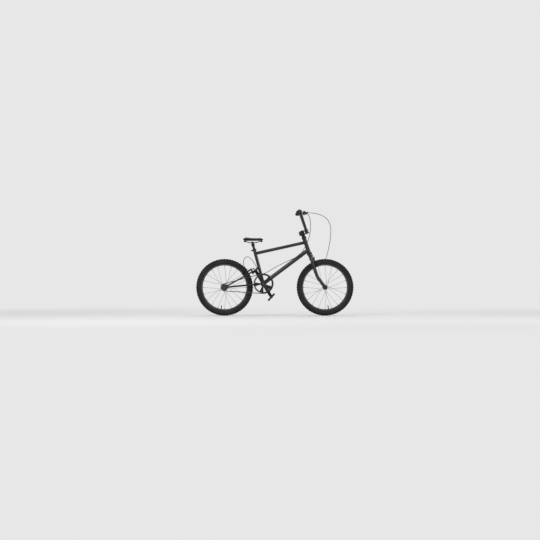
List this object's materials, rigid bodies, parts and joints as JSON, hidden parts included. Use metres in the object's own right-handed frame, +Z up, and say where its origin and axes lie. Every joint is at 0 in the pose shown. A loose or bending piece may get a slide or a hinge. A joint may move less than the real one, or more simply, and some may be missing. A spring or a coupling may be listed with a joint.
{
  "type": "bmx bike",
  "caption": "Black BMX bike with knobbly tyres, curved fork legs, high-rise handlebar, caliper brakes, single-speed chain drive and platform pedals.",
  "frame": {"origin": "on the ground midway between the two axles, in the plane of the wheels", "axes": "+X forward along the bike, +Y to the rider's left, +Z up; the chain is on the -Y side"},
  "size_m": [1.4198, 0.6848, 0.9525],
  "materials": {
    "frame_paint": "satin",
    "black_alloy": "satin",
    "dark_steel": "satin",
    "tyre_rubber": "matte",
    "soft_rubber": "matte",
    "cable_sleeve": "gloss",
    "saddle_skin": "satin",
    "saddle_plastic": "matte"
  },
  "bodies": {
    "frame": {"head_tube": "frame_paint", "top_tube": "frame_paint", "down_tube": "frame_paint", "seat_tube": "frame_paint", "bottom_bracket_shell": "frame_paint", "chain_stays": "frame_paint", "seat_stays": "frame_paint", "headset_cups": "black_alloy", "headset_bearings": "dark_steel", "bottom_bracket_bearings": "dark_steel", "seat_clamp": "black_alloy", "rear_axle": "dark_steel", "rear_axle_nuts": "dark_steel", "rear_brake_bolt": "dark_steel", "cable_clips": "cable_sleeve", "rear_brake_cable": "cable_sleeve", "chain": "dark_steel"},
    "seat": {"seat_post": "black_alloy", "saddle_clamp": "black_alloy", "saddle_rails": "dark_steel", "saddle_base": "saddle_plastic", "saddle_cover": "saddle_skin"},
    "steering": {"fork": "frame_paint", "headset_spacers": "black_alloy", "headset_top_cap": "black_alloy", "stem_body": "black_alloy", "stem_faceplate": "black_alloy", "stem_bolts": "dark_steel", "handlebar": "frame_paint", "grips": "soft_rubber", "lever_clamps": "black_alloy", "front_axle": "dark_steel", "front_axle_nuts": "dark_steel", "front_brake_bolt": "dark_steel", "front_brake_cable": "cable_sleeve"},
    "lever_left": {"brake_lever_left": "black_alloy"},
    "lever_right": {"brake_lever_right": "black_alloy"},
    "front_caliper_left": {"front_brake_arm_left": "black_alloy", "front_brake_pad_left": "soft_rubber"},
    "front_caliper_right": {"front_brake_arm_right": "black_alloy", "front_brake_pad_right": "soft_rubber"},
    "rear_caliper_left": {"rear_brake_arm_left": "black_alloy", "rear_brake_pad_left": "soft_rubber"},
    "rear_caliper_right": {"rear_brake_arm_right": "black_alloy", "rear_brake_pad_right": "soft_rubber"},
    "front_wheel": {"front_tyre": "tyre_rubber", "front_rim": "black_alloy", "front_hub": "black_alloy", "front_spokes": "dark_steel"},
    "rear_wheel": {"rear_tyre": "tyre_rubber", "rear_rim": "black_alloy", "rear_hub": "black_alloy", "rear_spokes": "dark_steel"},
    "freewheel_body": {"freewheel": "dark_steel"},
    "crank": {"crank_spindle": "dark_steel", "crank_arms": "black_alloy", "chainring": "black_alloy", "pedal_axles": "dark_steel"},
    "pedal_left_body": {"pedal_left": "black_alloy"},
    "pedal_right_body": {"pedal_right": "black_alloy"}
  },
  "joints": [
    {"name": "steer", "type": "hinge", "parent": "frame", "child": "steering", "pos_m": [0.28968, 0, 0.62381], "axis": [-0.3256, 0, 0.9455], "range_deg": [-75, 75], "deforming": ["rear_brake_cable"]},
    {"name": "seat_height", "type": "slide", "parent": "frame", "child": "seat", "axis": [-0.2588, 0, 0.9659], "range_m": [-0.015, 0.045]},
    {"name": "front_wheel_spin", "type": "hinge", "parent": "steering", "child": "front_wheel", "pos_m": [0.453, 0, 0.257], "axis": [0, 1, 0], "continuous": true},
    {"name": "rear_wheel_spin", "type": "hinge", "parent": "frame", "child": "rear_wheel", "pos_m": [-0.453, 0, 0.257], "axis": [0, 1, 0], "continuous": true},
    {"name": "crank_spin", "type": "hinge", "parent": "frame", "child": "crank", "pos_m": [-0.10355, 0, 0.29], "axis": [0, 1, 0], "continuous": true, "deforming": ["chain"]},
    {"name": "freewheel_spin", "type": "hinge", "parent": "frame", "child": "freewheel_body", "pos_m": [-0.453, 0, 0.257], "axis": [0, 1, 0], "continuous": true, "deforming": ["chain"]},
    {"name": "pedal_right_spin", "type": "hinge", "parent": "crank", "child": "pedal_right_body", "pos_m": [-0.03145, 0, 0.17], "axis": [0, 1, 0], "continuous": true},
    {"name": "pedal_left_spin", "type": "hinge", "parent": "crank", "child": "pedal_left_body", "pos_m": [-0.17566, 0, 0.41], "axis": [0, 1, 0], "continuous": true},
    {"name": "left_lever_pull", "type": "hinge", "parent": "steering", "child": "lever_left", "pos_m": [0.26072, 0.22035, 0.92949], "axis": [0.0377, 0.0558, 0.9977], "range_deg": [0, 20], "stiffness_Nm_per_rad": 0.4},
    {"name": "right_lever_pull", "type": "hinge", "parent": "steering", "child": "lever_right", "pos_m": [0.26072, -0.22035, 0.92949], "axis": [-0.0377, 0.0558, -0.9977], "range_deg": [0, 20], "stiffness_Nm_per_rad": 0.4},
    {"name": "front_caliper_left_close", "type": "hinge", "parent": "steering", "child": "front_caliper_left", "pos_m": [0.32679, 0, 0.51602], "axis": [-0.9455, 0, -0.3256], "range_deg": [0, 1.6]},
    {"name": "front_caliper_right_close", "type": "hinge", "parent": "steering", "child": "front_caliper_right", "pos_m": [0.32679, 0, 0.51602], "axis": [0.9455, 0, 0.3256], "range_deg": [0, 1.6]},
    {"name": "rear_caliper_right_close", "type": "hinge", "parent": "frame", "child": "rear_caliper_right", "pos_m": [-0.20242, 0, 0.39692], "axis": [0.4875, 0, -0.8731], "range_deg": [0, 1.6]},
    {"name": "rear_caliper_left_close", "type": "hinge", "parent": "frame", "child": "rear_caliper_left", "pos_m": [-0.20242, 0, 0.39692], "axis": [-0.4875, 0, 0.8731], "range_deg": [0, 1.6]}
  ],
  "couplings": [
    {"joint": "freewheel_spin", "follows": "crank_spin", "ratio": 2.75},
    {"joint": "front_caliper_left_close", "follows": "left_lever_pull", "ratio": 0.08},
    {"joint": "front_caliper_right_close", "follows": "left_lever_pull", "ratio": 0.08},
    {"joint": "rear_caliper_right_close", "follows": "right_lever_pull", "ratio": 0.08},
    {"joint": "rear_caliper_left_close", "follows": "right_lever_pull", "ratio": 0.08}
  ]
}
